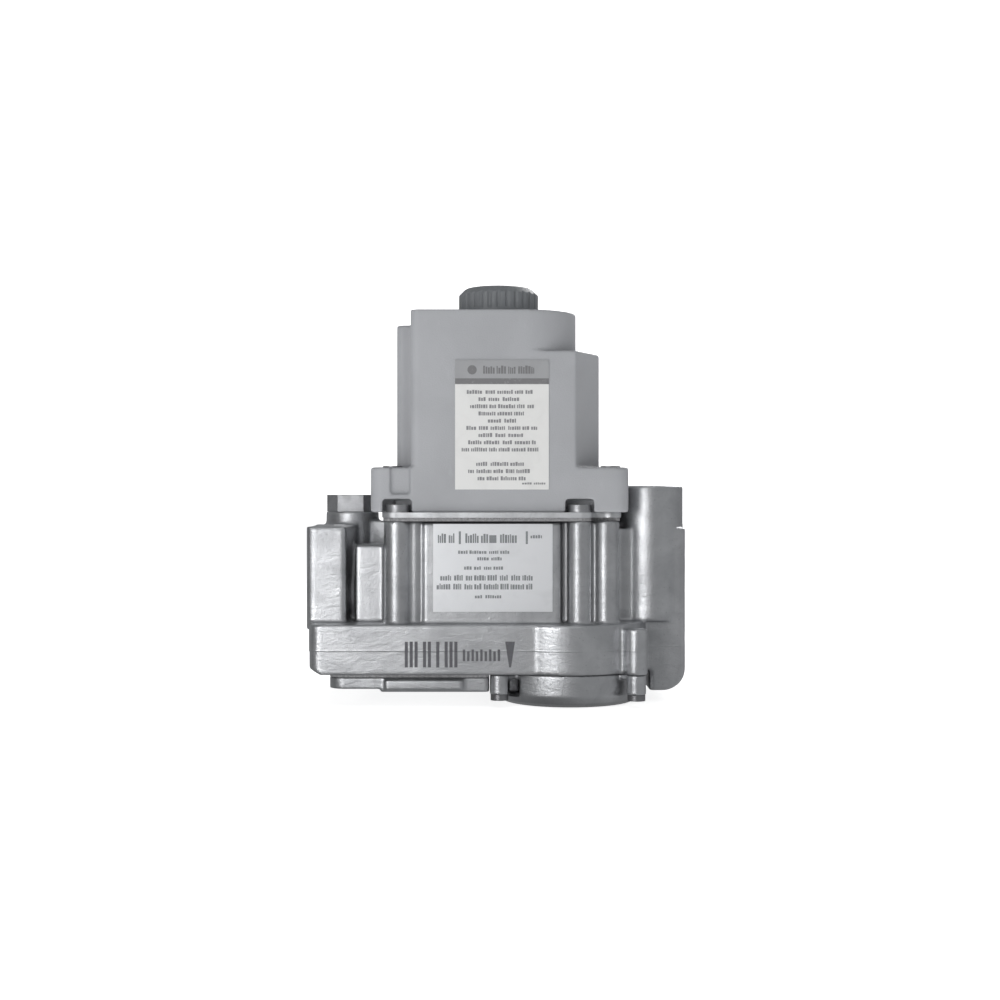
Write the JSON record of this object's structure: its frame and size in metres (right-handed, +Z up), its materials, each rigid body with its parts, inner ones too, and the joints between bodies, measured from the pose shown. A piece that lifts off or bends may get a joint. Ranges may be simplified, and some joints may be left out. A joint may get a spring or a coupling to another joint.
{
  "type": "gas valve",
  "caption": "Dual automatic gas valve for a boiler or furnace: cast body between two pipe ports, round diaphragm housing, moulded solenoid cover with an on/off knob, and a pressure regulator.",
  "frame": {"origin": "centre of the inlet port on the inlet face", "axes": "+X along the gas flow to the outlet face, +Z up along the knob's axis, -Y towards the side with the rating plate"},
  "size_m": [0.1, 0.062, 0.1108],
  "materials": {
    "cast_aluminium": "as cast, fine grain",
    "cover_grey": "moulded, fine texture",
    "knob_dark": "moulded",
    "black_plastic": "moulded",
    "nylon": "moulded",
    "red_plastic": "smooth",
    "plated_steel": "zinc plated",
    "dark_steel": "dark plated",
    "spring_steel": "drawn wire",
    "copper_winding": "enamelled wire",
    "brass": "turned",
    "rubber": "moulded",
    "gasket": "fibre sheet",
    "label_white": "printed film",
    "label_foil": "printed foil"
  },
  "bodies": {
    "valve": {"valve_body": "cast_aluminium", "base_gasket": "gasket", "base_plate": "cast_aluminium", "base_plate_screws": "dark_steel", "diaphragm_cover": "cast_aluminium", "diaphragm_cover_screws": "dark_steel", "main_diaphragm": "rubber", "main_spring": "spring_steel", "operator_gasket": "gasket", "operator_plate": "plated_steel", "operator_screws": "plated_steel", "operator_cover": "cover_grey", "cover_screws": "dark_steel", "first_coil_bobbin": "nylon", "first_coil_winding": "copper_winding", "first_coil_yoke": "dark_steel", "coil_clip": "spring_steel", "core_tube": "plated_steel", "pole_piece": "plated_steel", "plunger_spring": "spring_steel", "servo_coil_bobbin": "nylon", "servo_coil_winding": "copper_winding", "servo_frame": "dark_steel", "servo_core": "plated_steel", "flapper_pin": "plated_steel", "flapper_spring": "spring_steel", "servo_nozzle": "brass", "shaft_bushing": "nylon", "switch_body": "black_plastic", "switch_bracket": "plated_steel", "terminal_block": "black_plastic", "terminal_tabs": "brass", "coil_leads": "red_plastic", "regulator_nozzle": "brass", "regulator_diaphragm": "rubber", "regulator_sleeve": "plated_steel", "regulator_spring": "spring_steel", "inlet_screen": "spring_steel", "inlet_tap_plug": "plated_steel", "outlet_tap_plug": "plated_steel", "cover_label": "label_white", "rating_plate": "label_foil"},
    "knob": {"knob": "knob_dark", "knob_shaft": "plated_steel", "shaft_clip": "spring_steel", "switch_cam": "nylon"},
    "switch_button": {"switch_button": "red_plastic"},
    "plunger": {"plunger": "plated_steel", "first_valve_disc": "rubber"},
    "servo_flapper": {"servo_flapper": "plated_steel"},
    "main_valve": {"diaphragm_plate": "plated_steel", "main_stem": "brass", "main_valve_disc": "rubber"},
    "regulator_button": {"regulator_button": "brass"},
    "spring_seat": {"spring_seat": "plated_steel"},
    "adjusting_screw": {"adjusting_screw": "nylon"},
    "cap_seal": {"cap_seal": "rubber"},
    "regulator_cap": {"regulator_cap": "cast_aluminium"}
  },
  "joints": [
    {"name": "knob_turn", "type": "hinge", "parent": "valve", "child": "knob", "pos_m": [0.0504, -0.005, 0.075], "axis": [0, 0, 1], "range_deg": [0, 90]},
    {"name": "switch_press", "type": "slide", "parent": "valve", "child": "switch_button", "axis": [0, 0, 1], "range_m": [-0.00151, 0]},
    {"name": "plunger_lift", "type": "slide", "parent": "valve", "child": "plunger", "axis": [0, 0, 1], "range_m": [0, 0.003], "stiffness_N_per_m": 60, "springref_m": -0.005, "deforming": ["plunger_spring"]},
    {"name": "flapper_swing", "type": "hinge", "parent": "valve", "child": "servo_flapper", "pos_m": [0.0588, 0.004, 0.025], "axis": [0, -1, 0], "range_deg": [0, 4], "stiffness_Nm_per_rad": 0.002, "springref_deg": -5.73, "deforming": ["flapper_spring"]},
    {"name": "main_lift", "type": "slide", "parent": "valve", "child": "main_valve", "axis": [0, 0, 1], "range_m": [0, 0.004], "stiffness_N_per_m": 150, "springref_m": -0.008, "deforming": ["main_spring", "main_diaphragm"]},
    {"name": "regulator_lift", "type": "slide", "parent": "valve", "child": "regulator_button", "axis": [0, 0, 1], "range_m": [0, 0.0006], "stiffness_N_per_m": 200, "springref_m": -0.003, "deforming": ["regulator_diaphragm", "regulator_spring"]},
    {"name": "seat_travel", "type": "slide", "parent": "valve", "child": "spring_seat", "axis": [0, 0, 1], "range_m": [-0.001, 0.001]},
    {"name": "screw_turn", "type": "hinge", "parent": "spring_seat", "child": "adjusting_screw", "pos_m": [0.0912, -0.0095, 0.022], "axis": [0, 0, 1], "range_deg": [-721, 721]},
    {"name": "cap_lift", "type": "slide", "parent": "valve", "child": "cap_seal", "axis": [0, 0, 1], "range_m": [0, 0.0032]},
    {"name": "cap_turn", "type": "hinge", "parent": "cap_seal", "child": "regulator_cap", "pos_m": [0.0912, -0.0095, 0.028], "axis": [0, 0, 1], "range_deg": [0, 1441]}
  ],
  "couplings": [
    {"joint": "switch_press", "follows": "knob_turn", "m_per_rad": -0.00095493},
    {"joint": "screw_turn", "follows": "seat_travel", "rad_per_m": 12566},
    {"joint": "cap_turn", "follows": "cap_lift", "rad_per_m": 7854}
  ]
}
